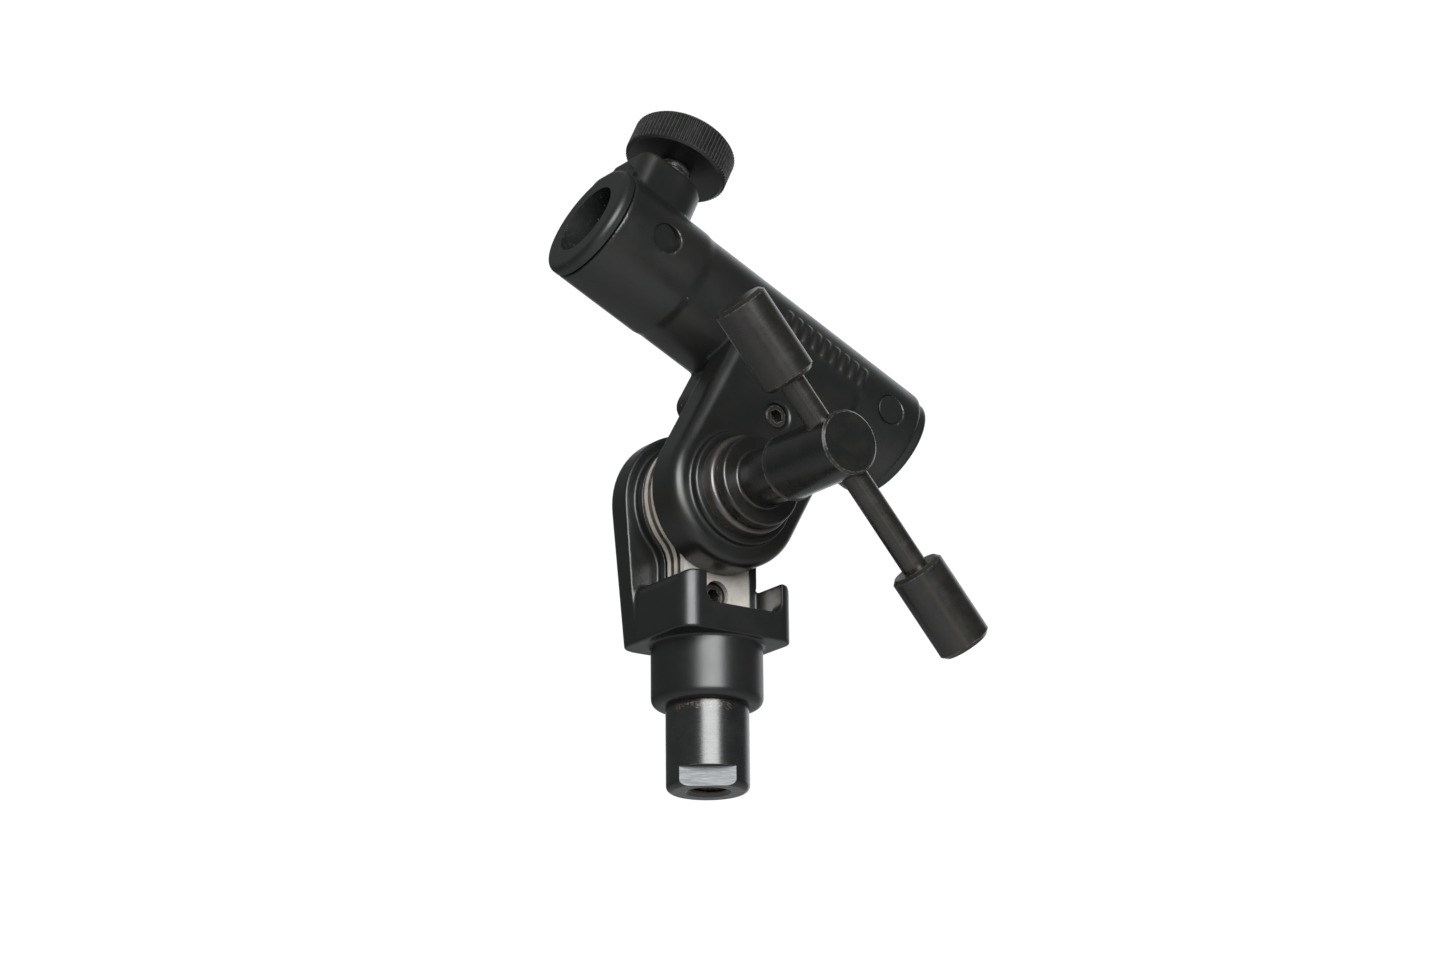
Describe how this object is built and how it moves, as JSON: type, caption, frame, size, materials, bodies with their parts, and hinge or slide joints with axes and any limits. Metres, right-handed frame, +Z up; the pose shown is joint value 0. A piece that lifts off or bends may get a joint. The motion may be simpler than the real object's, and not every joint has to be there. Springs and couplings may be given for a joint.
{
  "type": "boom tilter",
  "caption": "Tilting boom-rod holder: a fork on a round spigot, a clamped stack of friction plates, and an arm with a clamp tube, thumb screw and sliding T-bar.",
  "frame": {"origin": "centre of the collar's underside, where the spigot starts", "axes": "+Z up along the spigot's axis, away from its free end; the pivot runs along Y and the T-bolt is on the -Y side; the raised arm leans to +X"},
  "size_m": [0.0975, 0.075, 0.1609],
  "materials": {
    "black_coat": "satin",
    "black_oxide": "satin",
    "gunmetal": "satin",
    "nickel": "satin",
    "nylon": "satin",
    "steel": "satin",
    "bronze": "satin"
  },
  "bodies": {
    "base": {"spigot": "black_oxide", "base_fork": "black_coat", "lower_plate_1": "nickel", "lower_plate_2": "nickel", "lower_plate_3": "nickel", "lower_plate_screw": "black_oxide", "clamp_nut": "steel"},
    "arm": {"upper_plate_1": "nickel", "upper_plate_2": "nickel", "upper_plate_3": "nickel", "upper_plate_screw": "black_oxide", "upper_arm": "black_coat", "front_bushing": "nylon", "rear_bushing": "nylon"},
    "washers": {"cup_washer": "bronze", "thrust_washer": "black_oxide"},
    "bolt": {"clamp_bolt": "black_oxide", "t_head": "gunmetal"},
    "bar": {"t_bar": "gunmetal", "t_bar_upper_cap": "gunmetal", "t_bar_lower_cap": "gunmetal"},
    "shoe": {"clamp_shoe": "bronze"},
    "thumb": {"thumb_screw": "black_oxide", "knurled_knob": "black_oxide"}
  },
  "joints": [
    {"name": "arm_tilt", "type": "hinge", "parent": "base", "child": "arm", "pos_m": [0, 0, 0.0482], "axis": [0, 1, 0], "range_deg": [-117, 62]},
    {"name": "clamp_travel", "type": "slide", "parent": "base", "child": "washers", "axis": [0, -1, 0], "range_m": [0, 0.0015]},
    {"name": "clamp_turn", "type": "hinge", "parent": "washers", "child": "bolt", "pos_m": [0, -0.03, 0.0482], "axis": [0, -1, 0], "range_deg": [-1, 361]},
    {"name": "bar_slide", "type": "slide", "parent": "bolt", "child": "bar", "axis": [0.6613, 0, -0.7501], "range_m": [-0.0244, 0.0104]},
    {"name": "thumb_travel", "type": "slide", "parent": "arm", "child": "shoe", "axis": [-0.4258, 0, -0.9048], "range_m": [-0.003, 0.0055]},
    {"name": "thumb_turn", "type": "hinge", "parent": "shoe", "child": "thumb", "pos_m": [-0.01218, 0, 0.12025], "axis": [-0.4258, 0, -0.9048], "range_deg": [-866, 1586]}
  ],
  "couplings": [
    {"joint": "clamp_turn", "follows": "clamp_travel", "rad_per_m": 4188.8},
    {"joint": "thumb_turn", "follows": "thumb_travel", "rad_per_m": 5026.5}
  ]
}
